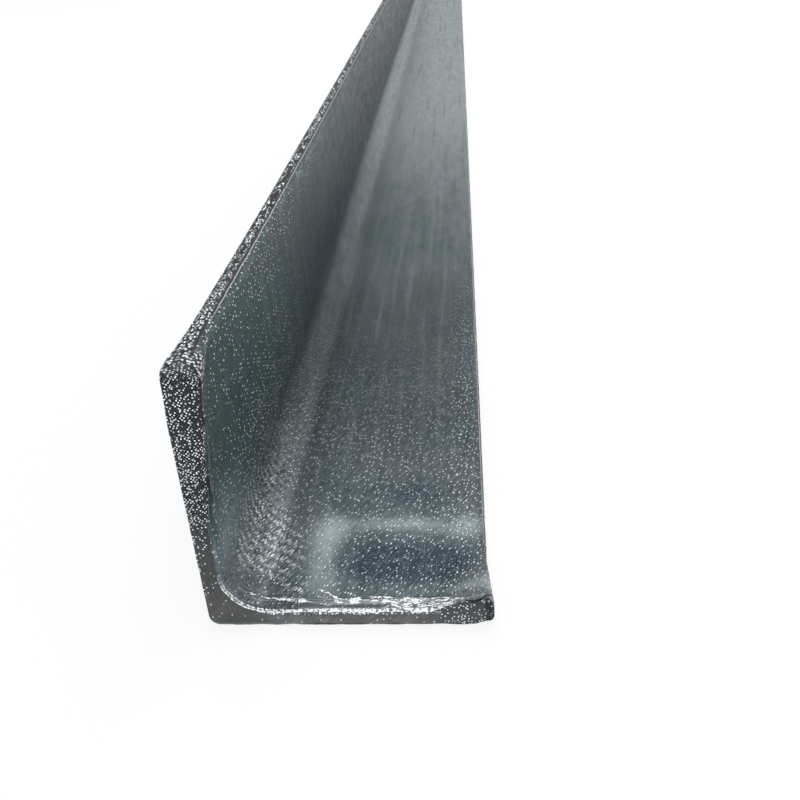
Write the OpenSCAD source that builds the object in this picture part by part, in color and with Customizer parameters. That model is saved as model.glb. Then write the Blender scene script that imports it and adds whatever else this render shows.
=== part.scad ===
// Hot-rolled equal-leg steel angle, cropped to length and hot-dip galvanised.
// One leg lies flat on Z = 0, the other stands up at the left, and the bar runs along Y.
// The origin is the middle of the face that the bar lies on, and the near end is at -Y.

/* [Section] */
// Width of each leg, from the heel to the toe
leg_w = 50; // [40:1:80]
// Thickness of both legs
leg_t = 4; // [4:0.5:8]
// Radius of the root fillet, in the inner corner
root_r = 7; // [4:0.5:10]
// Radius of the heel, on the outer corner
heel_r = 2; // [0.5:0.1:3]
// Radius of each toe's inner corner
toe_in_r = 2; // [0.8:0.1:2.4]
// Radius of each toe's outer corner
toe_out_r = 1; // [0.4:0.1:1.4]

/* [Bar] */
// Length of the bar
bar_l = 1000; // [200:10:3000]

/* [Cropped ends] */
// Length of the roll-over that the shear leaves along the inner faces
roll_l = 2.4; // [1.8:0.1:4]
// Depth of that roll-over on the cut face
roll_d = 1; // [0.3:0.1:1.6]

/* [Swollen toes of the near end] */
// How far the swelling reaches down the upright leg from its toe
upright_swell_w = 26; // [10:1:28]
// How far the swelling reaches across the flat leg from its toe
flat_swell_w = 13; // [8:1:28]
// How much thicker than the leg the upright toe is on the cut face
upright_swell_t = 2.6; // [0.5:0.1:4]
// How much thicker than the leg the flat toe is on the cut face
flat_swell_t = 2.2; // [0.5:0.1:4]
// Length along the bar over which the swelling dies away
swell_l = 16; // [6:1:40]
// Radius of a swollen toe's inner corner
swell_r = 1.6; // [0.6:0.1:2]

/* [Hidden] */
$fn = 96;
HULL_FN = 32;
SLICE = 0.4;  // thickness of the two slices that a swollen toe is blended between
CUT = 1;      // how far a cutting tool reaches past the faces that it cuts

root_c = leg_t + root_r;  // centre of the root fillet, the same along both legs
roll_r = (pow(roll_l, 2) + pow(roll_d, 2)) / (2 * roll_d);  // arc tangent to the inner face

// ---- The section: heel at the origin, legs along +x and +y ----

// Makes a second leg by mirroring about the section's diagonal
module on_both_legs() {
    children();
    mirror([1, -1]) children();
}

// What rounding a square corner at the origin takes away
module corner_waste(radius) {
    difference() {
        translate([-CUT, -CUT]) square(radius + CUT);
        translate([radius, radius]) circle(radius);
    }
}

module toe_waste() {
    translate([leg_w, 0]) rotate(90) corner_waste(toe_out_r);
    translate([leg_w, leg_t]) rotate(180) corner_waste(toe_in_r);
}

module root_fillet() {
    difference() {
        translate([leg_t, leg_t]) square(root_r);
        translate([root_c, root_c]) circle(root_r);
    }
}

module section() {
    difference() {
        union() {
            on_both_legs() square([leg_w, leg_t]);
            root_fillet();
        }
        on_both_legs() toe_waste();
        corner_waste(heel_r);
    }
}

// ---- The roll-over of an end whose cut face is at z = 0 ----

// What the roll-over takes away: x is the depth into the metal, y the distance from the cut face
module roll_waste() {
    difference() {
        translate([-CUT, -CUT]) square([CUT + roll_d, CUT + roll_l]);
        translate([roll_r, roll_l]) circle(roll_r);
    }
}

module roll_along_leg() {
    translate([leg_w + CUT, leg_t, 0]) rotate([90, 0, -90])
        linear_extrude(leg_w + CUT - root_c) roll_waste();
}

module roll_round_root() {
    translate([root_c, root_c, 0]) rotate(180)
        rotate_extrude(angle = 90) translate([root_r, 0]) roll_waste();
}

module roll_over() {
    roll_round_root();
    roll_along_leg();
    mirror([1, -1, 0]) roll_along_leg();
}

// ---- A toe that shear and zinc have thickened, on the flat leg's cut face at z = 0 ----

// One slice of it, from the leg's middle line up to its inner face
module toe_slice(reach, root_side_t, toe_t, corner_r) {
    mid = leg_t / 2;
    linear_extrude(SLICE) hull() {
        translate([leg_w - reach, mid]) square([SLICE, root_side_t - mid]);
        translate([leg_w - corner_r, mid]) square([corner_r, SLICE]);
        translate([leg_w - corner_r, toe_t - corner_r]) circle(corner_r, $fn = HULL_FN);
    }
}

module swollen_toe(reach, thicker) {
    hull() {
        toe_slice(reach, leg_t - roll_d, leg_t + thicker, swell_r);
        translate([0, 0, swell_l - SLICE]) toe_slice(reach, leg_t, leg_t, toe_in_r);
    }
}

// ---- The bar ----

// Length along +z, with the near end's cut face at z = 0
module bar_along_z() {
    difference() {
        linear_extrude(bar_l) section();
        roll_over();
        translate([0, 0, bar_l]) mirror([0, 0, 1]) roll_over();
    }
    swollen_toe(flat_swell_w, flat_swell_t);
    mirror([1, -1, 0]) swollen_toe(upright_swell_w, upright_swell_t);
}

// Lays the bar down: section x stays X, section y becomes Z and the length becomes Y
module angle_bar() {
    color([0.42, 0.46, 0.47])
        translate([-leg_w / 2, -bar_l / 2, 0]) mirror([0, 1, 0]) rotate([90, 0, 0]) bar_along_z();
}

angle_bar();
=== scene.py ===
"""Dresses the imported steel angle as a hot-dip galvanised bar, on a white floor in soft light.

The bar is shaped in millimetres in the heel's frame: x across the flat leg, z up the upright
leg, and d along the bar from the near end. Its material reads places in millimetres as well.
Everything else is in metres, in the CAD's frame.
"""

import functools
import math

import bpy
import numpy as np
from mathutils import Matrix, Vector

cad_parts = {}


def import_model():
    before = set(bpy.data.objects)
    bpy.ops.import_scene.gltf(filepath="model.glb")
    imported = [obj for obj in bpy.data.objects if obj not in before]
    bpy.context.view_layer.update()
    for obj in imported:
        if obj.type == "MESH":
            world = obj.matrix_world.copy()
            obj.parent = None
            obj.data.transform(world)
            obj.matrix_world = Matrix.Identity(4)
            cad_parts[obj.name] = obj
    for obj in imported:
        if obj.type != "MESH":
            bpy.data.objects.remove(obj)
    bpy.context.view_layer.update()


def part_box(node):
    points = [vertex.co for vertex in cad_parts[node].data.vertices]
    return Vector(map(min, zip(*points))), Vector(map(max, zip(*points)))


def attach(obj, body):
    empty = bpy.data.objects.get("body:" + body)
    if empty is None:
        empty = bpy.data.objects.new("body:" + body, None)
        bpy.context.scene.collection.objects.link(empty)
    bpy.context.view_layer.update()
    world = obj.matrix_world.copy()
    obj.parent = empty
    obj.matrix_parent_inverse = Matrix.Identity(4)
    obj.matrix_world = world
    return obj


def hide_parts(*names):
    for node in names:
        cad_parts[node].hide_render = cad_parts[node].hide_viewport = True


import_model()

MM = 0.001
NODE = "angle_bar"
LOW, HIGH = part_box(NODE)

# ---- The rolled section ----
LEG_W = (HIGH.x - LOW.x) / MM
BAR_L = (HIGH.y - LOW.y) / MM
LEG_T = 4.0
ROOT_R = 7.0
HEEL_R = 2.0
TOE_IN_R = 2.0
TOE_OUT_R = 1.0
ROOT_C = LEG_T + ROOT_R

# ---- The cropped ends ----
ROLL_L = 2.4  # length of the roll-over on the inner faces
ROLL_D = 1.0  # its depth on the cut face
EDGE_R = 0.4  # zinc rounds the cut's outer edges by this much

# ---- The near end's swollen toes: start and end along the leg, and height on the cut face ----
UPRIGHT_SWELL = (23.0, 49.0, 3.1)
FLAT_SWELL = (40.5, 49.0, 2.8)
SWELL_L = 16.0  # how far along the bar the swelling dies away

# ---- How far the toes stand out past the leg: distances from the cut, heights there ----
UPRIGHT_FLARE = ((0, 3, 6, 10, 20, 30, 45, 60, 85, 105),
                 (1.45, 1.45, 1.15, 0.9, 0.7, 0.6, 0.4, 0.25, 0.05, 0))
FLAT_FLARE = ((0, 2, 4, 9, 15), (0.9, 0.9, 0.75, 0.4, 0))
FLARE_W = 9.0   # how much of the leg's width stretches for it
ARCH = (0.15, 0.54)  # how fast the upright toe falls off to its outer and to its inner corner
ARCH_D = 0.9    # the most that it falls
ARCH_L = 9.0    # how far along the bar the arch dies away
ARCH_TOP = (2.9, 0.3)  # the arch's highest place across the toe, and how much further in it is at the cut
TOE_EDGE_L = 1.6  # the rounded edge between the cut and the upright toe
TOE_EDGE_D = 0.45
UNDER_D = 0.9   # how far the flat toe's underside curls up at the cut
UNDER_L = 7.0   # how far along the bar that dies away
# the upright toe's outer edge: distances from the cut, and how far inwards it leans there
OUTER_LEAN = ((0, 1, 2.5, 6, 10, 16, 24), (0.45, 0.1, -0.3, -0.55, -0.4, -0.15, 0))

# ---- Lines near the cut. Places across the inside are measured round it from the root's
# ---- middle: up the upright leg they are above 0, and along the flat leg below 0.
CRUST_LINE = ((-12, -9, -6, -4, -2.4, -1, 1), (2.2, 2.3, 2.6, 2.8, 3.0, 2.8, 2.5))
BELT_LINE = ((-40.5, -39, -37.5, -36, -32.3, -28.7, -25, -22.5, -19.5, -18.2, -16.1, -13.7),
             (0.6, 1.1, 1.8, 2.3, 2.5, 2.6, 2.9, 2.8, 2.3, 2.3, 3.7, 5.0))
RIM_LINE = ((-17, -16, -14.5, -12.4, -10), (0.9, 1.0, 1.3, 1.7, 2.0))
TOE_CRACK = ((-44.6, -43.6, -42.5, -41.3, -39.8), (2.6, 1.3, 0.5, 0.35, 0.8))
TOE_GAP = ((36.0, 38.5, 41, 43), (0.95, 0.6, 0.55, 0.8))
NICK = ((19.5, 20.6, 21.8, 23.1, 25.2, 26.4), (1.9, 1.95, 1.65, 1.25, 0.85, 0.7))
CREASE = ((43.0, 44.6, 46.0, 47.7), (0.4, 2.9, 5.2, 0.6))
# distances to these three are scaled down, which makes them wider than the toe crack
NICK_SHARE = 0.55
GAP_SHARE = 0.6
CREASE_SHARE = 0.5
BELT_END = -17.0  # the belt reaches from the flat toe to this place
LINES_L = 8.0   # all these lines lie nearer to the cut than this
OFF_LINE = 9.0  # stands for the distance of a point that is on no line

# ---- Soft patches of painted reflection (above 0) and painted shade and shadow (below 0) on the coat: place across, distance from the cut, two radii, and amount ----
WANDER = 1.1  # how far their outlines stray
SHEEN_SHADE_PATCHES = (
    (-14.0, 18.5, 3.8, 9, 0.74),
    (-29.5, 22.8, 14, 4.4, 0.70),
    (-41.5, 22.5, 4, 4.5, 0.4),
    (-14.2, 6.5, 4.5, 6.5, 0.42),
    (-35, 4.6, 10, 1.8, 0.5),
    (-25, 12.5, 6.5, 6.5, -1.3),
    (-35.5, 12.5, 6, 6.5, -1.4),
    (-30, 34, 14, 6, -0.6),
    (0, 14, 8, 6, 0.35),
    (-2, 29, 4.5, 8, 0.3),
    (0, 52, 4, 14, 0.3),
    (-4, 6, 6, 3, -0.3),
    (13, 11, 8, 12, 0.45),
    (8, 4, 8, 7, 0.55),
    (6, 22, 5, 12, 0.35),
    (27, 34, 10, 12, -0.3),
    (40, 20, 5, 14, -0.3),
    (-43, 6.5, 5, 4, 0.7),
    (25, 110, 25, 45, -0.4),
    (11, 170, 9, 60, -0.6),
    (25, 300, 25, 120, -0.4),
    (-27, 62, 14, 16, -0.45),
    (-18, 92, 12, 14, -0.5),
    (-34, 115, 12, 16, -0.35),
)

# ---- Samples round the section, in fours so that coarse rows can skip three of four ----
OUTER_N = (136, 24, 136)
INNER_N = (128, 40, 128)
TOE_N = (8, 4, 12)
RAIL = sum(OUTER_N)
TOE = sum(TOE_N)


# ======== Noise ========

def smooth(low, high, value):
    """0 at low, 1 at high, and an S-curve between them."""
    t = np.clip((value - low) / (high - low), 0.0, 1.0)
    return t * t * (3.0 - 2.0 * t)


def noise(points, cell, seed):
    """Value noise from -1 to 1, with cells of one size, or of one size for each axis."""
    p = points / np.asarray(cell, float)
    base = np.floor(p).astype(np.int64)
    f = p - base
    f = f * f * (3.0 - 2.0 * f)
    total = np.zeros(p.shape[:-1])
    for corner in np.ndindex(2, 2, 2):
        i = base + np.array(corner)
        h = i[..., 0] * 374761393 + i[..., 1] * 668265263 + i[..., 2] * 1442695041 + seed * 974711
        h = (h ^ (h >> 13)) * 1274126177 & 0xFFFFFFFF
        h = (h ^ (h >> 16)) & 0xFFFF
        weight = 1.0
        for axis in range(3):
            weight = weight * (f[..., axis] if corner[axis] else 1.0 - f[..., axis])
        total += weight * (h / 32767.5 - 1.0)
    return total


# ======== The section's outline ========

def line(start, end, count):
    """count points from start towards end, without the end."""
    t = np.arange(count)[:, None] / count
    return np.array(start) * (1 - t) + np.array(end) * t


def arc(centre, radius, start_deg, end_deg, count):
    """count points along an arc, without its end."""
    a = np.radians(start_deg + (end_deg - start_deg) * np.arange(count) / count)
    return np.array(centre) + radius * np.stack([np.cos(a), np.sin(a)], 1)


def outline():
    """From the upright toe down the outside, round the flat toe and back along the inside."""
    w, t = LEG_W, LEG_T
    return np.concatenate([
        line((0, w - TOE_OUT_R), (0, HEEL_R), OUTER_N[0]),
        arc((HEEL_R, HEEL_R), HEEL_R, 180, 270, OUTER_N[1]),
        line((HEEL_R, 0), (w - TOE_OUT_R, 0), OUTER_N[2]),
        arc((w - TOE_OUT_R, TOE_OUT_R), TOE_OUT_R, 270, 360, TOE_N[0]),
        line((w, TOE_OUT_R), (w, t - TOE_IN_R), TOE_N[1]),
        arc((w - TOE_IN_R, t - TOE_IN_R), TOE_IN_R, 0, 90, TOE_N[2]),
        line((w - TOE_IN_R, t), (ROOT_C, t), INNER_N[0]),
        arc((ROOT_C, ROOT_C), ROOT_R, 270, 180, INNER_N[1]),
        line((t, ROOT_C), (t, w - TOE_IN_R), INNER_N[2]),
        arc((t - TOE_IN_R, w - TOE_IN_R), TOE_IN_R, 0, 90, TOE_N[2]),
        line((t - TOE_IN_R, w), (TOE_OUT_R, w), TOE_N[1]),
        arc((TOE_OUT_R, w - TOE_OUT_R), TOE_OUT_R, 90, 180, TOE_N[0]),
    ])


class Section:
    """The outline's samples, and what each one needs to know about its place."""

    def __init__(self):
        self.xz = outline()
        self.count = len(self.xz)
        x, z = self.xz.T
        index = np.arange(self.count)
        steps = np.linalg.norm(np.diff(self.xz, axis=0, append=self.xz[:1]), axis=1)
        run = np.cumsum(steps) - steps
        # distance round the outline from the root's middle; the outer faces lie past the flat toe
        self.round = run - run[RAIL + TOE + INNER_N[0] + INNER_N[1] // 2]
        self.upright = z > x
        self.along = np.maximum(x, z)    # distance from the heel, along the leg
        self.across = np.minimum(x, z)   # distance from the outer face
        self.inner = (index >= RAIL + TOE) & (index <= 2 * RAIL + TOE)
        self.toe = ((index > RAIL) & (index < RAIL + TOE)) | (index > 2 * RAIL + TOE)
        self.normal = self._normals()
        self.lift = self._lift()

    def _normals(self):
        tangent = np.roll(self.xz, -1, 0) - np.roll(self.xz, 1, 0)
        normal = np.stack([tangent[:, 1], -tangent[:, 0]], 1)
        return normal / np.linalg.norm(normal, axis=1)[:, None]

    def _lift(self):
        """Which way, and how far, a sample moves for each millimetre of added thickness."""
        across = np.where(self.upright[:, None], (1.0, 0.0), (0.0, 1.0))
        share = np.clip(self.across / LEG_T, 0, 1)[:, None]
        in_root = self.inner & (self.along < ROOT_C)
        lift = np.where(self.inner[:, None], across, across * share * self.toe[:, None])
        return np.where(in_root[:, None], self.normal, lift)


SECTION = Section()


# ======== The bar's form ========

def roll_over(d, length, depth):
    """Depth of the roll-over at distance d from the cut: an arc tangent to the inner face."""
    radius = (length ** 2 + depth ** 2) / (2 * depth)
    left = np.clip(length - d, 0, None)
    return radius - np.sqrt(radius ** 2 - left ** 2)


def beyond(path, place, d):
    """How far d is beyond a path's own distance at each place, and OFF_LINE past its ends."""
    places, distances = path
    off = d - np.interp(place, places, distances)
    return np.where((place >= places[0]) & (place <= places[-1]), off, OFF_LINE)


def bump(off, width):
    """1 on a line, and a soft slope to 0 beside it."""
    return np.exp(-(off / width) ** 2)


def nearest(*distances):
    """Whichever of some distances is the nearest to 0."""
    return functools.reduce(lambda a, b: np.where(np.abs(a) < np.abs(b), a, b), distances)


class Skin:
    """Points on the bar's surface at the given rows, with the masks that the material reads.

    s holds the samples that the rows use, d each row's distance from the near cut, and
    points is an array of rows by samples by (x, d, z). The masks are skin, the place across
    and the distance from the cut; sheen_and_shade, soft patches of painted reflection and of
    painted shade and shadow; line, belt and crack, the distance to the nearest such line; and
    cut, which is 1 on the cut faces.
    """

    def __init__(self, distances, stride):
        self.s = np.arange(0, SECTION.count, stride)
        self.d = np.asarray(distances, float)[:, None]
        shape = (len(distances), len(self.s))
        x, z = SECTION.xz[self.s].T
        self.points = np.stack(np.broadcast_arrays(x, self.d, z), -1).astype(float)
        self.base = self.points.copy()
        self.place = np.broadcast_to(SECTION.round[self.s], shape)
        self.along = np.broadcast_to(SECTION.along[self.s], shape)
        self.upright = np.broadcast_to(SECTION.upright[self.s], shape)
        self.inner = np.broadcast_to(SECTION.inner[self.s], shape)
        self.toe = np.broadcast_to(SECTION.toe[self.s], shape)
        self.masks = {
            "skin": np.stack(np.broadcast_arrays(self.place, self.d, 0.0), -1),
            "sheen_and_shade": self._sheen_and_shade(),
        }
        self._thicken()
        self._flare()
        self._shape_toes()
        self._round_edges()
        self._ridges()
        self._roughen()
        self._wave_cut()
        self.points[..., 2] = np.maximum(self.points[..., 2], 0.0)

    def _push(self, amount, directions):
        """Moves the points by amount along each sample's own direction in the section."""
        self.points[..., 0] += amount * directions[self.s, 0]
        self.points[..., 2] += amount * directions[self.s, 1]

    def _sheen_and_shade(self):
        """Soft patches of painted reflection and painted shade on the coat: light above 0, and dark below.
        """
        sheen_and_shade = np.zeros(self.inner.shape)
        across = self.place + WANDER * noise(self.base, 7.0, seed=9)
        back = self.d + WANDER * noise(self.base, 7.0, seed=10)
        for place, distance, wide, deep, amount in SHEEN_SHADE_PATCHES:
            off = ((across - place) / wide) ** 2 + ((back - distance) / deep) ** 2
            sheen_and_shade += amount * np.exp(-off)
        return sheen_and_shade * (self.inner | self.toe)

    def _swell_ramp(self):
        """How much the toes swell at the cut: 0 where the leg is plain."""
        ramps = [np.clip((self.along - start) / (end - start), 0, 1) * height
                 for start, end, height in (UPRIGHT_SWELL, FLAT_SWELL)]
        return np.where(self.upright, ramps[0], ramps[1])

    def _thicken(self):
        """Roll-over at both ends, and the swollen toes at the near one."""
        wobble = noise(self.base, (6.0, 90.0, 6.0), seed=1)
        # the near roll-over is longest beside the root on the flat leg
        near_l = ROLL_L * (1 + 0.30 * wobble)
        near_l = near_l * np.where(self.upright, 0.85, 1.2 - 0.5 * smooth(12, 23, self.along))
        near = roll_over(self.d, near_l, ROLL_D * (1 + 0.12 * wobble))
        far = roll_over(BAR_L - self.d, ROLL_L * (1 + 0.2 * wobble), np.full_like(wobble, ROLL_D))
        fade = np.clip(1 - self.d / SWELL_L, 0, 1) ** 1.6
        self._push(self._swell_ramp() * fade - near - far, SECTION.lift)

    def _flare(self):
        """The swollen toes stand out past the leg."""
        flare = np.interp(self.d, *FLAT_FLARE)
        flare = np.where(self.upright, np.interp(self.d, *UPRIGHT_FLARE), flare)
        flare = flare * smooth(LEG_W - FLARE_W, LEG_W, self.along)
        self.points[..., 0] += flare * ~self.upright
        self.points[..., 2] += flare * self.upright

    def _shape_toes(self):
        """Arches the upright toe, leans its outer edge, and curls the flat toe's underside up."""
        # x and z are views of the points, so each step starts from what the last one left
        x, z = self.points[..., 0], self.points[..., 2]
        fade = np.clip(1 - self.d / ARCH_L, 0, 1)
        near = fade * smooth(LEG_W - 4.5, LEG_W, z)
        off = x / (ARCH_TOP[0] + ARCH_TOP[1] * fade) - 1
        lower = np.minimum(near * np.where(off < 0, *ARCH) * off ** 2, ARCH_D)
        lower = lower + roll_over(self.d, TOE_EDGE_L, TOE_EDGE_D) * smooth(LEG_W - 1.5, LEG_W, z)
        self.points[..., 2] -= lower * self.upright
        lean = np.interp(self.d, *OUTER_LEAN) * smooth(LEG_W - FLARE_W, LEG_W - 0.5, z)
        self.points[..., 0] += lean * np.clip(1 - x / 3.5, 0, 1) * self.upright
        under = smooth(LEG_W - 3.5, LEG_W + 0.5, x) * np.clip(1 - z / 3.0, 0, 1) * ~self.upright
        self.points[..., 2] += UNDER_D * under * np.clip(1 - self.d / UNDER_L, 0, 1)

    def _round_edges(self):
        """Rounds the cut's edges, apart from the rolled-over inner ones."""
        rolled = self.inner & (self._swell_ramp() < 0.3)
        for d in (self.d, BAR_L - self.d):
            left = np.clip(EDGE_R - d, 0, EDGE_R)
            inset = EDGE_R - np.sqrt(EDGE_R ** 2 - left ** 2)
            self._push(np.where(rolled, 0, -inset), SECTION.normal)

    def _off(self, path):
        """How far each point is beyond a line."""
        return beyond(path, self.place, self.d)

    def _ridges(self):
        """The zinc crust behind the cut's inner edge, the belt, and the cracks and crease at the toes."""
        close = self.d < LINES_L
        near = self.inner & close
        cracked = (self.inner | self.toe) & close
        belt_edge = self._off(BELT_LINE)
        lines = nearest(self._off(CRUST_LINE), belt_edge, self._off(RIM_LINE))
        cracks = nearest(self._off(TOE_CRACK), NICK_SHARE * self._off(NICK), GAP_SHARE * self._off(TOE_GAP))
        crease = np.where(self.upright & close, self._off(CREASE), OFF_LINE)
        self.masks["line"] = np.where(near, lines, OFF_LINE)
        self.masks["belt"] = np.where(near & (self.place < BELT_END), belt_edge, OFF_LINE)
        self.masks["crack"] = nearest(np.where(cracked, cracks, OFF_LINE), CREASE_SHARE * crease)

        # the cut's own grey comes round its outer edges, and round the inner one at the swollen toes
        swollen = np.maximum(smooth(16, 22, self.place), smooth(-33, -40, self.place))
        reach = 0.5 * np.where(self.inner, swollen, 1.0)
        left = np.minimum(self.d, BAR_L - self.d)
        edge = np.where(reach > 0, smooth(reach + 0.05, reach - 0.1, left), 0.0)
        self.masks["cut"] = np.maximum(edge, smooth(0.1, -0.3, crease))

        lumps = 1 + 0.8 * noise(self.base, (1.1, 0.5, 1.1), seed=2)
        rim = (1 - smooth(16, 24, self.place)) * smooth(-41, -36, self.place)
        belt = smooth(0.1, -0.3, self.masks["belt"]) * noise(self.base, (2.6, 0.45, 3.0), seed=3)
        raised = 0.16 * bump(self.d, 0.35) * rim * lumps + 0.12 * bump(lines, 0.3) * lumps + 0.14 * belt
        depth = np.where(self.upright, 0.12, 0.45)
        self._push(near * raised - cracked * depth * bump(cracks, 0.25), SECTION.lift)
        self._push(-0.15 * bump(crease, 0.3), SECTION.normal)

    def _roughen(self):
        """Grain on the toes, and the soft waves of a dipped coat on the inner faces."""
        grain = 0.05 * noise(self.base, 0.7, seed=4)
        grain += 0.05 * noise(self.base, (2.0, 3.0, 2.0), seed=5)
        # only where the rows are close enough together to hold it
        fine = (self.d < 30) | (self.d > BAR_L - 10)
        self._push(np.where(self.toe & fine, grain, 0), SECTION.normal)
        waves = 0.03 * noise(self.base, (9.0, 60.0, 9.0), seed=6) * self.inner
        self._push(waves, SECTION.lift)

    def _wave_cut(self):
        """The cut's edge isn't quite straight."""
        wave = 0.10 * noise(self.base, (3.0, 90.0, 3.0), seed=7)
        wave += 0.04 * noise(self.base, (0.8, 90.0, 0.8), seed=8)
        for sign, d in ((-1, self.d), (1, BAR_L - self.d)):
            self.points[..., 1] += sign * wave * np.clip(1 - d / 3.0, 0, 1)


# ======== The mesh ========

class MeshParts:
    """Collects vertices, faces and masks for one mesh."""

    def __init__(self):
        self.points, self.faces, self.masks, self.total = [], [], [], 0

    def add(self, points, masks):
        """Adds rows of points and gives back the rows of their numbers."""
        flat = points.reshape(-1, 3)
        numbers = np.arange(self.total, self.total + len(flat)).reshape(points.shape[:-1])
        self.points.append(flat)
        self.masks.append({name: values.reshape(len(flat), -1) for name, values in masks.items()})
        self.total += len(flat)
        return numbers

    def quads(self, a, b, c, d):
        self.faces += np.stack([a, b, c, d], -1).reshape(-1, 4).tolist()

    def triangles(self, a, b, c):
        self.faces += np.stack([a, b, c], -1).reshape(-1, 3).tolist()

    def band(self, row, following):
        """Joins two closed rows, the second as dense as the first, or half or twice as dense."""
        after, after_following = np.roll(row, -1), np.roll(following, -1)
        if len(row) == len(following):
            self.quads(row, following, after_following, after)
        elif len(row) == 2 * len(following):
            first, middle, last = row[::2], row[1::2], after[1::2]
            self.triangles(first, following, middle)
            self.triangles(middle, following, after_following)
            self.triangles(middle, after_following, last)
        else:
            first, last = following[::2], after_following[1::2]
            middle = following[1::2]
            self.triangles(row, first, middle)
            self.triangles(row, middle, after)
            self.triangles(after, middle, last)

    def build(self, name):
        """The finished object, in the CAD's frame and in metres."""
        points = np.concatenate(self.points)
        x, d, z = points.T
        placed = np.stack([LOW.x + x * MM, LOW.y + d * MM, LOW.z + z * MM], 1)
        mesh = bpy.data.meshes.new(name)
        mesh.from_pydata(placed.tolist(), [], self.faces)
        for mask in self.masks[0]:
            values = np.concatenate([part[mask] for part in self.masks])
            kind, key = ("FLOAT", "value") if values.shape[1] == 1 else ("FLOAT_VECTOR", "vector")
            layer = mesh.attributes.new(mask, kind, "POINT")
            layer.data.foreach_set(key, values.astype(np.float32).reshape(-1))
        mesh.shade_smooth()
        mesh.set_sharp_from_angle(angle=math.radians(50))
        piece = bpy.data.objects.new(name, mesh)
        bpy.context.scene.collection.objects.link(piece)
        return piece


def spaced(start, end, step, growth, widest):
    """Distances from start to end, whose steps grow from step to widest."""
    distances = [start]
    while distances[-1] < end:
        distances.append(distances[-1] + step)
        step = min(step * growth, widest)
    return np.array(distances[:-1])


def cap(parts, rim, stride, distance, sign):
    """Fills a cut face with a domed, uneven grid between the outer and inner rails."""
    rail, toe = RAIL // stride, TOE // stride
    points = np.concatenate(parts.points)
    low = points[rim[1:rail]][:, None]
    high = points[rim[rail + toe: 2 * rail + toe + 1]][::-1][1:-1, None]
    share = (SECTION.across[RAIL: RAIL + TOE + 1: stride] / LEG_T)[1:-1][None, :, None]
    middle = low * (1 - share) + high * share
    inset = np.minimum(np.linalg.norm(middle - low, axis=-1), np.linalg.norm(high - middle, axis=-1))
    x, z = middle[..., 0], middle[..., 2]
    # roughest where the zinc is thick: up the upright leg and at the flat toe
    coarse = 0.12 + 0.88 * np.maximum(smooth(15, 24, z), 0.75 * smooth(33, 44, x))
    flat = middle * (1, 0, 1)
    rough = 0.05 * noise(flat, 0.55, seed=11) + 0.06 * noise(flat, 1.6, seed=12)
    rough = (rough * coarse + 0.05 * noise(flat, 4.0, seed=13)) * smooth(0, 0.5, inset)
    middle[..., 1] = distance + sign * (rough + 0.18 * smooth(0, 1.2, inset))
    blank = np.zeros(x.shape)
    masks = {name: blank + OFF_LINE for name in ("line", "belt", "crack")}
    masks |= {"skin": np.stack([x, blank + distance, z], -1), "sheen_and_shade": blank, "cut": blank + 1}
    numbers = parts.add(middle, masks)
    grid = np.empty((rail + 1, toe + 1), int)
    grid[1:-1, 1:-1] = numbers
    grid[:, 0] = rim[:rail + 1]
    grid[:, -1] = rim[rail + toe: 2 * rail + toe + 1][::-1]
    grid[0] = np.roll(rim, -1)[::-1][:toe + 1]
    grid[-1] = rim[rail: rail + toe + 1]
    a, b, c, e = grid[:-1, :-1], grid[1:, :-1], grid[1:, 1:], grid[:-1, 1:]
    if sign < 0:
        parts.quads(a, b, c, e)
    else:
        parts.quads(e, c, b, a)


def angle_bar():
    """The whole bar as one closed mesh, finest at the near cut."""
    parts = MeshParts()
    edge = np.array([0.0, 0.05, 0.13, 0.25, 0.42])
    # each zone's rows, and the step between the samples of the outline that they use
    zones = [
        (np.concatenate([edge, spaced(0.64, 22.0, 0.22, 1.03, 0.9)]), 1),
        (spaced(22.9, 100.0, 1.0, 1.07, 4.0), 2),
        (spaced(104.0, BAR_L - 24.0, 4.0, 1.05, 14.0), 4),
        (np.concatenate([BAR_L - 16.0 + spaced(0.0, 15.0, 1.0, 1.0, 1.0), BAR_L - edge[::-1]]), 2),
    ]
    rows = []
    for distances, stride in zones:
        skin = Skin(distances, stride)
        rows += list(parts.add(skin.points, skin.masks))
    for row, following in zip(rows, rows[1:]):
        parts.band(row, following)
    cap(parts, rows[0], zones[0][1], 0.0, -1)
    cap(parts, rows[-1], zones[-1][1], BAR_L, 1)
    return parts.build("galvanised_angle")


# ======== Materials ========

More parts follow.
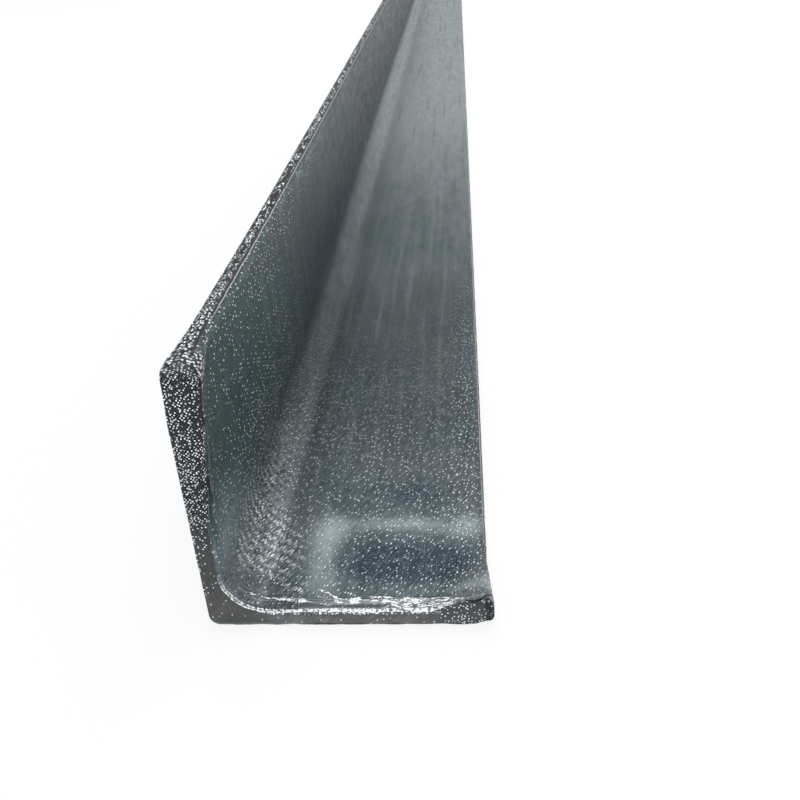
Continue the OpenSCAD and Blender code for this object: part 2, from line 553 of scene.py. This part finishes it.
class Graph:
    """A material's or a world's nodes, each added and linked in one call."""

    def __init__(self, owner):
        owner.use_nodes = True
        self.tree = owner.node_tree
        self.tree.nodes.clear()

    def add(self, kind, inputs=None, **settings):
        """Adds a node. An input is a value, or another node's output."""
        node = self.tree.nodes.new(kind)
        for name, value in settings.items():
            setattr(node, name, value)
        for key, value in (inputs or {}).items():
            if isinstance(value, bpy.types.NodeSocket):
                self.tree.links.new(value, node.inputs[key])
            else:
                node.inputs[key].default_value = value
        return node

    def math(self, operation, a, b=0.0, clamp=False):
        return self.add("ShaderNodeMath", {0: a, 1: b}, operation=operation, use_clamp=clamp).outputs[0]

    def ramp(self, value, low, high, to_low=0.0, to_high=1.0):
        """Maps value from low..high to to_low..to_high, on an S-curve."""
        inputs = {"Value": value, "From Min": low, "From Max": high, "To Min": to_low, "To Max": to_high}
        return self.add("ShaderNodeMapRange", inputs, interpolation_type="SMOOTHSTEP").outputs[0]

    def fold(self, operation, values):
        """Joins any number of values, two at a time."""
        return functools.reduce(lambda a, b: self.math(operation, a, b), values)

    def times(self, *values):
        return self.fold("MULTIPLY", values)

    def plus(self, *values):
        return self.fold("ADD", values)

    def most(self, *values):
        return self.fold("MAXIMUM", values)

    def blend(self, share, a, b):
        """Mixes two numbers."""
        return self.add("ShaderNodeMix", {0: share, 2: a, 3: b}).outputs[0]

    def mix(self, share, a, b):
        """Mixes two colours."""
        return self.add("ShaderNodeMix", {0: share, 6: a, 7: b}, data_type="RGBA").outputs[2]

    def mark(self, value, middle, near, far):
        """1 where value is within near of its middle, and 0 from far on."""
        off = self.math("ABSOLUTE", self.math("SUBTRACT", value, middle))
        return self.ramp(off, far, near)

    def stretched(self, point, scale, turn=(0.0, 0.0, 0.0)):
        """The point turned, then scaled along each axis."""
        turned = self.add("ShaderNodeMapping", {"Vector": point, "Rotation": turn})
        inputs = {0: turned.outputs[0], 1: scale}
        return self.add("ShaderNodeVectorMath", inputs, operation="MULTIPLY").outputs[0]

    def noise(self, point, scale=1.0, detail=2.0, roughness=0.5):
        inputs = {"Vector": point, "Scale": scale, "Detail": detail, "Roughness": roughness}
        return self.add("ShaderNodeTexNoise", inputs).outputs["Fac"]

    def dots(self, point, radius, share, scatter=0.6, ragged=0.0, levels=(0.4, 1.0)):
        """A soft dot in the middle of a share of the cells of a flat grid, some brighter than others.

        Gives the dots, and the distance to the nearest cell's middle.
        """
        cells = self.add("ShaderNodeTexVoronoi", {"Vector": point, "Scale": 1.0, "Randomness": scatter},
                         voronoi_dimensions="2D")
        near = cells.outputs["Distance"]
        if ragged:
            wobble = self.math("SUBTRACT", self.noise(point, 1.3, 1.0), 0.5)
            near = self.plus(near, self.times(wobble, ragged))
        inside = self.ramp(near, radius, 0.6 * radius)
        pick = self.add("ShaderNodeSeparateColor", {0: cells.outputs["Color"]})
        shown = self.math("LESS_THAN", pick.outputs[0], share)
        level = self.ramp(pick.outputs[1], 0.0, 1.0, *levels)
        return self.times(inside, shown, level), near

    def value(self, name):
        return self.add("ShaderNodeAttribute", attribute_name=name).outputs["Fac"]

    def vector(self, name):
        return self.add("ShaderNodeAttribute", attribute_name=name).outputs["Vector"]


def grey(value, tint=(1.0, 1.0, 1.0)):
    """A colour of one brightness, with its red, green and blue scaled by the tint."""
    return tuple(value * t for t in tint) + (1.0,)


# ---- Tints ----
TEAL = (0.60, 1.04, 1.08)
BLUE = (0.79, 1.0, 1.18)
NAVY = (0.38, 1.0, 1.75)
SLATE = (0.76, 1.0, 1.10)
LILAC = (0.86, 0.97, 1.14)
LIGHT = (0.87, 1.0, 1.03)
PLAIN = (0.95, 1.0, 1.05)
DULL = (0.98, 1.0, 1.01)
WARM = (1.02, 1.0, 0.98)
# near black: a burnt stain at the flat toe, and painted shade in the cracks, the nick and the crease
SOOT_AND_CREVICE_SHADE = (0.014, 0.012, 0.010, 1.0)

# ---- How far the patterns are turned ----
BRUSH_SLANT = math.radians(-27)
ROW_SLANT = math.radians(-36)
ROOT_SLANT = math.radians(-23)
DRIP_SLANT = math.radians(8)
BEAD_SLANT = math.radians(38)
STROKE_SLANT = math.radians(-42)

RELIEF_D = 0.06 * MM  # how far the finest relief seems to stand out


class Places:
    """Sockets that say where on the bar a point is, in millimetres.

    point, x and z are in the CAD's frame. across and back are the skin mask's place and distance
    from the cut. inside is 1 on the inner faces, on_upright is 1 up the upright leg's, and cut
    is 1 on the cut faces, with a ragged edge.
    """

    def __init__(self, g):
        self.point = g.stretched(g.add("ShaderNodeTexCoord").outputs["Object"], (1 / MM,) * 3)
        spot = g.add("ShaderNodeSeparateXYZ", {0: self.point}).outputs
        self.x, self.z = spot[0], spot[2]
        self.skin = g.vector("skin")
        parts = g.add("ShaderNodeSeparateXYZ", {0: self.skin}).outputs
        self.across, self.back = parts[0], parts[1]
        self.inside = g.times(g.ramp(self.across, -45.4, -44.9), g.ramp(self.across, 44.9, 44.5))
        self.on_upright = g.ramp(self.across, 3.0, 9.0)
        ragged = g.math("SUBTRACT", g.noise(self.point, 1.7, 2.0), 0.5)
        self.cut = g.ramp(g.plus(g.value("cut"), ragged), 0.40, 0.60)


def ground(g, at, sheen_and_shade):
    """The coat's colour: broad clouds, faint runs along and down the legs, darker far along the
    upright leg and in a band across the flat leg, a painted grazing reflection that lightens the
    flat leg further on, and soft patches of painted reflection and painted shade.
    """
    skin, back, across = at.skin, at.back, at.across
    on_flat = g.math("SUBTRACT", 1.0, at.on_upright)
    clouds = g.noise(g.stretched(at.point, (0.07, 0.03, 0.07)), detail=3.0)
    colour = g.mix(g.ramp(clouds, 0.35, 0.65), grey(0.078, TEAL), grey(0.105, BLUE))
    colour = g.mix(at.on_upright, colour, grey(0.082, TEAL))
    colour = g.mix(g.times(g.ramp(back, 90.0, 320.0), at.on_upright, 0.85), colour, grey(0.032, LILAC))
    colour = g.mix(g.times(g.mark(back, 95.0, 25.0, 80.0), on_flat, 0.6), colour, grey(0.030, TEAL))
    # painted grazing reflection: the flat leg grows lighter far along the bar
    colour = g.mix(g.times(g.ramp(back, 170.0, 400.0), on_flat, 0.85), colour, grey(0.33, LIGHT))

    runs = g.noise(g.stretched(skin, (0.42, 0.011, 1.0)), detail=3.0)
    drips = g.noise(g.stretched(skin, (0.025, 0.22, 1.0), (0, 0, DRIP_SLANT)), detail=4.0)
    runs = g.blend(at.on_upright, runs, drips)
    far = g.ramp(back, 15.0, 70.0, 0.1, 1.0)
    far = g.times(far, g.ramp(across, -52.0, -49.0, 0.35, 1.0))
    far = g.times(far, g.blend(at.on_upright, 1.0, g.ramp(back, 90.0, 250.0, 1.0, 0.5)))
    colour = g.mix(g.times(g.ramp(runs, 0.50, 0.72), far, 0.35), colour, grey(0.20, LIGHT))
    colour = g.mix(g.times(g.ramp(runs, 0.48, 0.30), far, 0.40), colour, grey(0.035, BLUE))

    # painted reflection where the patches are light, and painted shade and shadow where they are dark
    pale = g.mix(at.on_upright, grey(0.40, LIGHT), grey(0.38, SLATE))
    colour = g.mix(g.ramp(sheen_and_shade, 0.0, 1.0, 0.0, 0.95), colour, pale)
    return g.mix(g.ramp(sheen_and_shade, 0.0, -1.0, 0.0, 0.9), colour, grey(0.024, NAVY))


def brushed(g, at, sheen_and_shade, colour):
    """Fine brush lines that lie aslant, and thin streaks along the bar just above the root."""
    brush = g.noise(g.stretched(at.skin, (3.0, 0.30, 1.0), (0, 0, BRUSH_SLANT)), detail=2.0)
    strength = g.times(g.ramp(at.back, 40.0, 170.0, 1.0, 0.0), g.blend(at.on_upright, 1.0, 0.4))
    lit = g.times(g.ramp(brush, 0.50, 0.66), strength, g.ramp(sheen_and_shade, -1.0, 0.0, 0.25, 0.40))
    colour = g.mix(lit, colour, grey(0.26, LILAC))
    colour = g.mix(g.times(g.ramp(brush, 0.48, 0.32), strength, 0.50), colour, grey(0.025, TEAL))
    streaks = g.noise(g.stretched(at.skin, (1.6, 0.035, 1.0)), detail=1.0)
    beside = g.times(g.mark(at.across, 9.5, 4.5, 9.0), g.ramp(at.back, 110.0, 60.0), 0.3)
    colour = g.mix(g.times(g.ramp(streaks, 0.52, 0.64), beside), colour, grey(0.30, LIGHT))
    colour = g.mix(g.times(g.ramp(streaks, 0.48, 0.36), beside), colour, grey(0.03, TEAL))
    return colour, brush


def dashes(g, skin, slant):
    """Bright dashes, and paler lanes among them, that both lie at one slant."""
    turn = (0, 0, slant)
    rows = g.dots(g.stretched(skin, (2.9, 0.44, 1.0), turn), 0.28, 0.95, 0.5, levels=(0.45, 1.8))[0]
    return rows, g.noise(g.stretched(skin, (2.4, 0.20, 1.0), turn), detail=2.0)


def root_rows(g, at, colour):
    """Rows of dashes along the root, in slanting swathes, and a few more close to the cut."""
    skin, back, across = at.skin, at.back, at.across
    spread = g.ramp(back, 18.0, 32.0, 1.2, 0.7)
    middle = g.plus(g.ramp(back, 14.0, 28.0, 1.2, -1.6), g.ramp(back, 44.0, 72.0, 0.0, 2.8))
    off_root = g.math("DIVIDE", g.math("ABSOLUTE", g.plus(across, middle)), spread)
    near_root = g.times(g.ramp(off_root, 9.0, 4.0), g.ramp(back, 75.0, 28.0))
    swathes = g.noise(g.stretched(skin, (0.6, 0.10, 1.0), (0, 0, ROW_SLANT)), detail=1.0)
    swathes = g.ramp(swathes, 0.38, 0.56, 0.25, 1.0)
    on_root = g.ramp(across, -6.0, -3.0)
    rows, lanes = (g.blend(on_root, flat, root) for flat, root in
                   zip(dashes(g, skin, ROW_SLANT), dashes(g, skin, ROOT_SLANT)))
    shown = g.times(near_root, g.ramp(back, 6.0, 12.0, 0.1, 1.0), g.ramp(back, 22.0, 46.0, 1.0, 0.3))
    shown = g.most(shown, g.times(g.mark(across, -9.4, 1.2, 3.0), g.mark(back, 5.6, 0.8, 2.2), 0.9))
    rows = g.times(rows, shown, swathes)
    near_root = g.times(near_root, g.ramp(back, 4.0, 12.0, 0.3, 1.0))
    colour = g.mix(g.times(near_root, 0.28), colour, grey(0.034, LIGHT))
    colour = g.mix(g.times(near_root, g.ramp(lanes, 0.48, 0.60), 0.5), colour, grey(0.24, PLAIN))
    colour = g.mix(g.times(near_root, g.ramp(lanes, 0.47, 0.38), 0.5), colour, grey(0.010, LIGHT))
    return g.mix(rows, colour, grey(1.0, PLAIN)), rows


def speckled(g, at, sheen_and_shade, colour):
    """Specks: close together on the flat leg and at the toes, further apart up the upright leg."""
    skin, back, across = at.skin, at.back, at.across
    near_toe = g.most(g.ramp(across, -34.0, -42.0), g.ramp(across, 30.0, 40.0))
    # the low ones cover the flat leg, and fewer of them the outer faces; the high ones the upright leg
    turn = (0, 0, BRUSH_SLANT)
    share = g.times(g.blend(near_toe, 0.62, 1.0), g.ramp(across, -49.6, -48.6, 0.35, 1.0))
    low = g.dots(g.stretched(skin, (1.40, 0.54, 1.0), turn), 0.165, share, 0.95, 0.10)[0]
    share = g.most(g.ramp(across, 30.0, 12.0, 0.25, 0.70), g.times(near_toe, 0.5))
    spots = g.stretched(skin, (1.15, 0.60, 1.0), turn)
    high = g.dots(spots, 0.21, share, 1.0, 0.10, levels=(0.5, 1.6))[0]
    specks = g.blend(at.on_upright, low, high)
    at_toe = g.ramp(back, 60.0, 200.0, 1.0, 0.2)
    fading = g.blend(near_toe, g.ramp(back, 25.0, 120.0, 1.0, 0.15), at_toe)
    drift = g.ramp(g.noise(skin, 0.11, 2.0), 0.30, 0.55, 0.55, 1.0)
    specks = g.times(specks, fading, drift, g.ramp(sheen_and_shade, -1.2, -0.6, 0.65, 1.0))
    colour = g.mix(specks, colour, grey(1.0, PLAIN))

    # a finer dust, thickest at the flat toe
    fine = g.dots(g.stretched(skin, (2.1, 1.3, 1.0)), 0.20, 0.35, 1.0)[0]
    thick = g.times(g.mark(across, -41.0, 3.5, 7.0), g.ramp(back, 14.0, 8.0), 0.9)
    fine = g.times(fine, g.most(g.ramp(back, 60.0, 20.0, 0.0, 0.45), thick))
    return g.mix(fine, colour, grey(0.8, PLAIN)), specks


def rim_lines(g, at, colour):
    """A paler band beside the rim, which is painted light over the roll-over's dark reflection, and thin
    lines that follow it.
    """
    # painted light: lightens the band beside the rim that the roll-over leaves dark
    painted_light_band = g.times(g.ramp(at.back, 3.2, 1.2), g.ramp(at.across, -8.0, -14.0), at.inside)
    colour = g.mix(g.times(painted_light_band, 0.5), colour, grey(0.24, LIGHT))
    rims = g.noise(g.stretched(at.skin, (0.05, 1.7, 1.0)), detail=1.0)
    reach = g.blend(at.on_upright, 4.5, 12.0)
    shade = g.times(g.ramp(g.math("DIVIDE", at.back, reach), 1.0, 0.3), at.inside)
    colour = g.mix(g.times(g.ramp(rims, 0.52, 0.62), shade, 0.45), colour, grey(0.34, PLAIN))
    colour = g.mix(g.times(g.ramp(rims, 0.46, 0.38), shade, 0.45), colour, grey(0.03, TEAL))
    return colour, rims


def coat(g, at):
    """The zinc coat on the faces: gives its colour, and what adds to its relief."""
    # soft patches of painted reflection and painted shade
    sheen_and_shade = g.value("sheen_and_shade")
    colour, brush = brushed(g, at, sheen_and_shade, ground(g, at, sheen_and_shade))
    colour, rows = root_rows(g, at, colour)
    colour, specks = speckled(g, at, sheen_and_shade, colour)
    colour, rims = rim_lines(g, at, colour)
    return colour, [g.times(specks, 0.6), g.times(rows, 0.6), g.times(brush, 0.5), g.times(rims, 0.4)]


def cut_beads(g, at, on_cut, high, right):
    """Zinc beads close together up the upright leg, each with a ring of painted shadow round it, and loose
    ones elsewhere.
    """
    turned = g.stretched(on_cut, (2.05, 2.05, 1.0), (0, 0, BEAD_SLANT))
    beads, near = g.dots(turned, 0.33, g.times(high, 0.68), 0.55, 0.10, levels=(0.3, 2.2))
    spots = g.stretched(on_cut, (1.7, 1.7, 1.0))
    edge = g.times(g.ramp(at.x, -22.5, -24.8), g.ramp(at.z, 1.5, 4.0))
    loose_share = g.most(g.times(right, 0.72), g.plus(g.times(edge, 0.26), 0.07))
    loose = g.dots(spots, 0.27, loose_share, 1.0, 0.10, levels=(0.4, 1.8))[0]
    patch = g.ramp(g.noise(at.point, 0.45, 2.0), 0.30, 0.55, 0.65, 1.0)
    # the second mark is painted shadow in a ring round each bead up the upright leg
    return g.most(g.times(beads, patch), loose), g.times(g.mark(near, 0.48, 0.10, 0.19), high, 0.97)


def sheared_steel(g, at, on_cut, high, right):
    """Dull grey with slanting strokes, darker at the heel, up the upright leg and at the flat toe, with a
    painted highlight along the rounded bottom edge.
    """
    clouds = g.ramp(g.noise(at.point, 0.25, 3.0), 0.35, 0.65)
    colour = g.mix(clouds, grey(0.120, DULL), grey(0.165, DULL))
    strokes = g.noise(g.stretched(on_cut, (0.25, 1.9, 1.0), (0, 0, STROKE_SLANT)), detail=2.0)
    colour = g.mix(g.times(g.ramp(strokes, 0.54, 0.72), 0.35), colour, grey(0.30, WARM))
    colour = g.mix(g.times(g.ramp(strokes, 0.44, 0.28), 0.35), colour, grey(0.06, DULL))
    colour = g.mix(g.times(right, 0.75), colour, grey(0.055, LILAC))
    colour = g.mix(g.ramp(at.x, -10.0, -20.0, 0.0, 0.62), colour, grey(0.065, DULL))
    colour = g.mix(g.ramp(at.z, 4.0, 12.0, 0.0, 0.55), colour, grey(0.055, PLAIN))
    colour = g.mix(g.times(high, 0.85), colour, grey(0.070, BLUE))
    # painted highlight along the cut's rounded bottom edge
    foot_highlight = g.times(g.mark(at.z, 0.5, 0.06, 0.18), g.ramp(at.x, -4.0, -9.0), 0.6)
    return g.mix(foot_highlight, colour, grey(0.35, BLUE))


def cut_face(g, at):
    """The sheared end: dull grey steel, with a skin of zinc beads up the upright leg and at the flat toe."""
    # inward moves the pattern on round the edge, so that it isn't drawn out along the bar
    inward = g.math("MINIMUM", at.back, g.math("SUBTRACT", BAR_L, at.back))
    on_cut = g.add("ShaderNodeCombineXYZ", {0: g.plus(at.x, inward), 1: g.plus(at.z, inward)}).outputs[0]
    high = g.ramp(at.z, 15.0, 28.0)
    right = g.ramp(at.x, 10.0, 20.0)
    beads, gaps = cut_beads(g, at, on_cut, high, right)
    # gaps: painted shadow round the beads
    colour = g.mix(gaps, sheared_steel(g, at, on_cut, high, right), grey(0.006, LILAC))
    colour = g.mix(beads, colour, grey(1.0, PLAIN))

    # zinc spilt below the rim, with a shadow under it, and a burnt corner at the flat toe
    below_rim = g.times(g.ramp(at.x, -14.5, -13.0), g.ramp(at.x, 17.0, 14.0))
    grit = g.noise(g.stretched(on_cut, (1.8, 1.8, 1.0)), detail=1.0)
    spilt = g.times(g.ramp(grit, 0.50, 0.56), g.ramp(at.z, 2.62, 2.82), below_rim)
    shadow = g.times(g.ramp(grit, 0.42, 0.52), g.ramp(at.z, 2.35, 2.75), below_rim)
    colour = g.mix(g.times(shadow, 0.6), colour, grey(0.02, DULL))
    colour = g.mix(spilt, colour, grey(1.0, PLAIN))
    burnt = g.times(g.ramp(at.x, 23.8, 24.8), g.ramp(g.noise(at.point, 1.4, 3.0), 0.40, 0.50))
    colour = g.mix(g.times(burnt, 0.9), colour, SOOT_AND_CREVICE_SHADE)
    return colour, [g.times(beads, 1.3), g.times(gaps, -1.2)]


def toe_lines(g, at):
    """Along a toe's inner edge: three dark lines, and a light one between two of them."""
    wander = g.times(g.noise(g.stretched(at.skin, (0.0, 0.12, 0.0)), detail=1.0), 0.35)
    place = g.plus(g.math("ABSOLUTE", at.across), wander)
    along = g.ramp(at.back, 5.0, 8.0)
    dark = g.most(g.mark(place, 44.90, 0.14, 0.28),
                  g.times(g.mark(place, 44.20, 0.03, 0.14), 0.7),
                  g.times(g.mark(place, 46.95, 0.05, 0.16), 0.8))
    light = g.times(g.mark(place, 44.52, 0.06, 0.16), g.ramp(at.back, 17.0, 30.0))
    return g.times(dark, along, 0.9), g.times(light, along, 0.75)


def toes(g, at):
    """The legs' edges: beads near the cut, then zinc in ever longer crinkles.

    Gives their colour, what adds to their relief, and where they are.
    """
    from_root = g.math("ABSOLUTE", at.across)
    # the swollen upright toe reaches further down the inside
    swollen = g.times(g.ramp(at.back, 10.2, 8.8), at.on_upright, 3.2)
    on_toe = g.times(g.ramp(g.plus(from_root, swollen), 44.6, 45.1), g.ramp(from_root, 48.6, 48.2))
    spots = g.stretched(at.skin, (2.0, 0.95, 1.0))
    beads, near = g.dots(spots, 0.36, 0.90, 0.9, 0.12, levels=(0.35, 1.9))
    crinkle, longer, longest = (g.noise(g.stretched(at.skin, scale), detail=1.5) for scale in
                                ((1.1, 0.42, 1.0), (0.8, 0.17, 1.0), (0.6, 0.07, 1.0)))
    crinkle = g.blend(g.ramp(at.back, 50.0, 110.0), crinkle, longer)
    crinkle = g.blend(g.ramp(at.back, 150.0, 350.0), crinkle, longest)
    folds = g.most(g.mark(crinkle, 0.525, 0.006, 0.022), g.times(g.ramp(crinkle, 0.65, 0.68), 0.9))
    far = g.ramp(at.back, 22.0, 42.0)
    bright = g.times(g.blend(far, beads, folds), g.ramp(at.back, 140.0, 320.0, 1.0, 0.85))
    valleys = g.plus(g.ramp(crinkle, 0.50, 0.47), g.mark(crinkle, 0.585, 0.02, 0.045))
    dark = g.blend(far, g.ramp(near, 0.38, 0.52), valleys)
    patch = g.ramp(g.noise(at.point, 0.45, 2.0), 0.35, 0.6)
    colour = g.mix(patch, grey(0.065, PLAIN), grey(0.22, PLAIN))
    colour = g.mix(g.times(far, 0.85), colour, grey(0.015, PLAIN))
    colour = g.mix(g.times(dark, g.ramp(at.back, 90.0, 260.0, 0.95, 0.4)), colour, grey(0.004, PLAIN))
    colour = g.mix(bright, colour, grey(1.0, PLAIN))
    return colour, [g.times(bright, on_toe, 1.2)], on_toe


def rim_bead(g, at, grit):
    """The bead along the rim: notched, pitted, and split lengthwise from the root on."""
    skin, back, across = at.skin, at.back, at.across
    ladder = g.ramp(across, -8.0, -4.5)
    rim = g.ramp(g.plus(back, g.times(grit, 0.5), g.times(ladder, -0.16)), 0.74, 0.62)
    notches = g.ramp(g.noise(g.stretched(skin, (1.6, 2.2, 1.0)), detail=2.0), 0.40, 0.47)
    rim = g.times(rim, notches, g.ramp(across, 7.0, 1.5), g.ramp(across, -40.5, -36.0))
    pits = g.dots(g.stretched(skin, (1.3, 1.7, 1.0)), 0.30, 0.9, 1.0)[0]
    pits = g.times(pits, g.ramp(back, 0.44, 0.22), 1.4)
    rim = g.times(rim, g.math("SUBTRACT", 1.0, pits, clamp=True))
    gaps = g.times(g.mark(back, 0.32, 0.07, 0.15), g.ramp(g.noise(skin, 2.6, 1.0), 0.40, 0.48))
    return g.times(rim, g.math("SUBTRACT", 1.0, g.times(gaps, ladder, 0.95)))


def wavy_strands(g, at, grit):
    """Noise drawn out into wavy strands that follow the cut, split here and there."""
    waves = g.noise(g.stretched(at.skin, (0.25, 0.3, 1.0)), detail=2.0)
    wavy = g.plus(at.back, g.times(waves, 2.0))
    inputs = {0: g.times(at.across, 0.55), 1: g.times(wavy, 2.7)}
    spot = g.add("ShaderNodeCombineXYZ", inputs).outputs[0]
    splits = g.mark(g.noise(g.stretched(spot, (1.3, 0.9, 1.0)), detail=1.0), 0.5, 0.015, 0.035)
    return g.plus(g.noise(spot, detail=1.5), g.times(grit, 0.35), g.times(splits, -0.3))


def strand_belt(g, at, strands):
    """The belt on the flat leg: its whole width towards the toe, and beside its edge near the root."""
    behind = g.value("belt")
    broad = g.blend(g.ramp(at.across, -28.0, -25.0), 1.0, g.ramp(behind, -1.4, -1.1))
    belt = g.times(g.ramp(behind, 0.12, -0.12), broad, g.ramp(at.back, 0.45, 0.62), at.inside)
    return g.times(belt, g.ramp(strands, 0.65, 0.70))


def seams(g, at, strands):
    """Thin flaky lines of zinc, with a clump and a chain where they are widest."""
    across = at.across
    flakes = g.noise(g.stretched(at.skin, (1.9, 1.3, 1.0)), detail=2.0)
    off = g.math("ABSOLUTE", g.plus(g.value("line"), g.times(flakes, 0.9), -0.45))
    clump = g.mark(across, -9.5, 1.5, 3.5)
    chain = g.times(g.mark(across, -15.5, 1.8, 3.0), g.ramp(at.back, 2.0, 2.8))
    thin = g.blend(g.ramp(across, -18.5, -17.0), 0.16, g.ramp(at.back, 1.9, 2.3, 0.07, 0.16))
    width = g.plus(g.times(clump, 0.24), g.times(chain, 0.10), thin)
    seam = g.ramp(g.math("SUBTRACT", off, width), 0.06, -0.08)
    joined = g.plus(strands, g.times(g.most(clump, chain), 0.07))
    return g.times(seam, g.ramp(joined, 0.62, 0.68), g.ramp(across, 1.0, -3.0, 0.25, 1.0))


def single_beads(g, at):
    """A string of beads beside the upright toe, and a few at the nick's lower end."""
    aside = g.math("SUBTRACT", g.plus(at.across, -40.3), g.times(at.back, 0.20))
    string = g.times(g.mark(aside, 0.0, 0.25, 0.40), g.mark(at.back, 15.0, 7.0, 9.0))
    nick = g.times(g.mark(at.across, 19.4, 0.8, 1.3), g.mark(at.back, 2.3, 0.4, 0.7))
    single = g.dots(g.stretched(at.skin, (1.6, 0.95, 1.0)), 0.34, 0.95, 0.5)[0]
    return g.times(single, g.most(string, nick))


def crust(g, at):
    """All the raised zinc near the cut."""
    grit = g.noise(g.stretched(at.skin, (2.6, 1.8, 1.0)), detail=2.0)
    strands = wavy_strands(g, at, grit)
    return g.most(rim_bead(g, at, grit), seams(g, at, strands), strand_belt(g, at, strands),
                  single_beads(g, at))


def galvanised_steel():
    """The whole bar's material: the coat, then the toes, the crust, the cut faces and the painted shade in
    the cracks.
    """
    steel = bpy.data.materials.new("galvanised_steel")
    g = Graph(steel)
    at = Places(g)
    body, coat_relief = coat(g, at)
    toe, toe_relief, on_toe = toes(g, at)
    dark_lines, light_line = toe_lines(g, at)
    face, face_relief = cut_face(g, at)
    zinc = crust(g, at)
    body = g.mix(on_toe, body, toe)
    body = g.mix(light_line, body, grey(0.6, PLAIN))
    body = g.mix(dark_lines, body, grey(0.012, PLAIN))
    body = g.mix(zinc, body, grey(1.0, DULL))
    body = g.mix(at.cut, body, face)
    # painted shade in the cracks, the nick and the crease
    crack = g.ramp(g.math("ABSOLUTE", g.value("crack")), 0.27, 0.12)
    body = g.mix(g.times(crack, 0.94), body, SOOT_AND_CREVICE_SHADE)

    # a dull gloss, and relief for all of it
    smears = g.noise(g.stretched(at.point, (0.4, 0.1, 0.4)), detail=4.0)
    rough = g.times(g.most(at.cut, on_toe), 0.10)
    rough = g.math("ADD", g.ramp(smears, 0.3, 0.7, 0.34, 0.50), rough, clamp=True)
    relief = g.plus(g.noise(at.point, 1.8, 4.0, 0.6), zinc, *coat_relief, *toe_relief, *face_relief)
    bump_map = g.add("ShaderNodeBump", {"Strength": 0.5, "Distance": RELIEF_D, "Height": relief})
    shader = g.add("ShaderNodeBsdfPrincipled", {
        "Base Color": body,
        "Metallic": 0.6,
        "Roughness": rough,
        "Normal": bump_map.outputs[0],
    })
    g.add("ShaderNodeOutputMaterial", {"Surface": shader.outputs[0]})
    return steel


def seen_rays(g):
    """1 for each ray that shows the background, and 1 for the camera's own rays alone."""
    paths = g.add("ShaderNodeLightPath").outputs
    direct = paths["Is Camera Ray"]
    return g.most(direct, paths["Is Glossy Ray"], paths["Is Transmission Ray"]), direct


def floor_paint():
    """Matt white that the camera and reflections see as near white, with a soft shadow."""
    paint = bpy.data.materials.new("floor_paint")
    g = Graph(paint)
    matt = g.add("ShaderNodeBsdfDiffuse", {"Color": grey(0.9)})
    white = g.add("ShaderNodeEmission", {"Color": grey(1.0), "Strength": 1.05})
    share = g.times(seen_rays(g)[0], 0.8)
    both = g.add("ShaderNodeMixShader", {0: share, 1: matt.outputs[0], 2: white.outputs[0]})
    g.add("ShaderNodeOutputMaterial", {"Surface": both.outputs[0]})
    return paint


# ======== The studio ========

FLOOR_R = 12.0  # metres
FLOOR_GAP = 0.05 * MM  # keeps the floor clear of the bar's underside
CAMERA_PLACE = (46.8, -116.0, 114.1)  # millimetres from the heel at the near end
CAMERA_TURN = (30.25, -4.93, -3.65)   # degrees: pitch down, yaw to the right, and roll
CAMERA_LENS = 40.2


def floor():
    place = (0, 0, -FLOOR_GAP)
    bpy.ops.mesh.primitive_circle_add(vertices=64, radius=FLOOR_R, fill_type="NGON", location=place)
    plane = bpy.context.object
    plane.name = "floor"
    plane.data.materials.append(floor_paint())


def world():
    """White to the camera, pale in reflections, and a soft fill light for the rest."""
    sky = bpy.data.worlds.new("studio")
    bpy.context.scene.world = sky
    g = Graph(sky)
    seen, direct = seen_rays(g)
    strength = g.plus(0.75, g.times(seen, 0.25), g.times(direct, 0.25))
    background = g.add("ShaderNodeBackground", {"Color": grey(0.8), "Strength": strength})
    g.add("ShaderNodeOutputWorld", {"Surface": background.outputs[0]})


def lamp(name, place, target, size, watts):
    """A square soft light that faces its target."""
    light = bpy.data.lights.new(name, "AREA")
    light.shape = "SQUARE"
    light.size = size
    light.energy = watts
    holder = bpy.data.objects.new(name, light)
    holder.location = place
    holder.rotation_euler = (Vector(target) - Vector(place)).to_track_quat("-Z", "Y").to_euler()
    bpy.context.scene.collection.objects.link(holder)


def lamps():
    near = Vector((0, LOW.y, 0))
    lamp("overhead", near + Vector((0.1, 0.8, 1.4)), near, 1.2, 8)
    lamp("front", near + Vector((0.3, -1.2, 1.1)), near, 1.0, 5)


def camera():
    """Stands close to the near end, a little above it, and looks down along the bar."""
    heel = Vector((LOW.x, LOW.y, LOW.z))
    data = bpy.data.cameras.new("camera")
    data.lens = CAMERA_LENS
    data.clip_start = 0.01
    holder = bpy.data.objects.new("camera", data)
    pitch, yaw, roll = (math.radians(a) for a in CAMERA_TURN)
    turn = (Matrix.Rotation(-yaw, 4, "Z") @ Matrix.Rotation(math.pi / 2 - pitch, 4, "X")
            @ Matrix.Rotation(roll, 4, "Z"))
    holder.matrix_world = Matrix.Translation(heel + Vector(CAMERA_PLACE) * MM) @ turn
    bpy.context.scene.collection.objects.link(holder)
    bpy.context.scene.camera = holder


def main():
    camera()
    bar = angle_bar()
    bar.data.materials.append(galvanised_steel())
    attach(bar, "root")
    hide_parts(NODE)
    floor()
    world()
    lamps()
    bpy.context.scene.view_settings.view_transform = "Standard"


main()
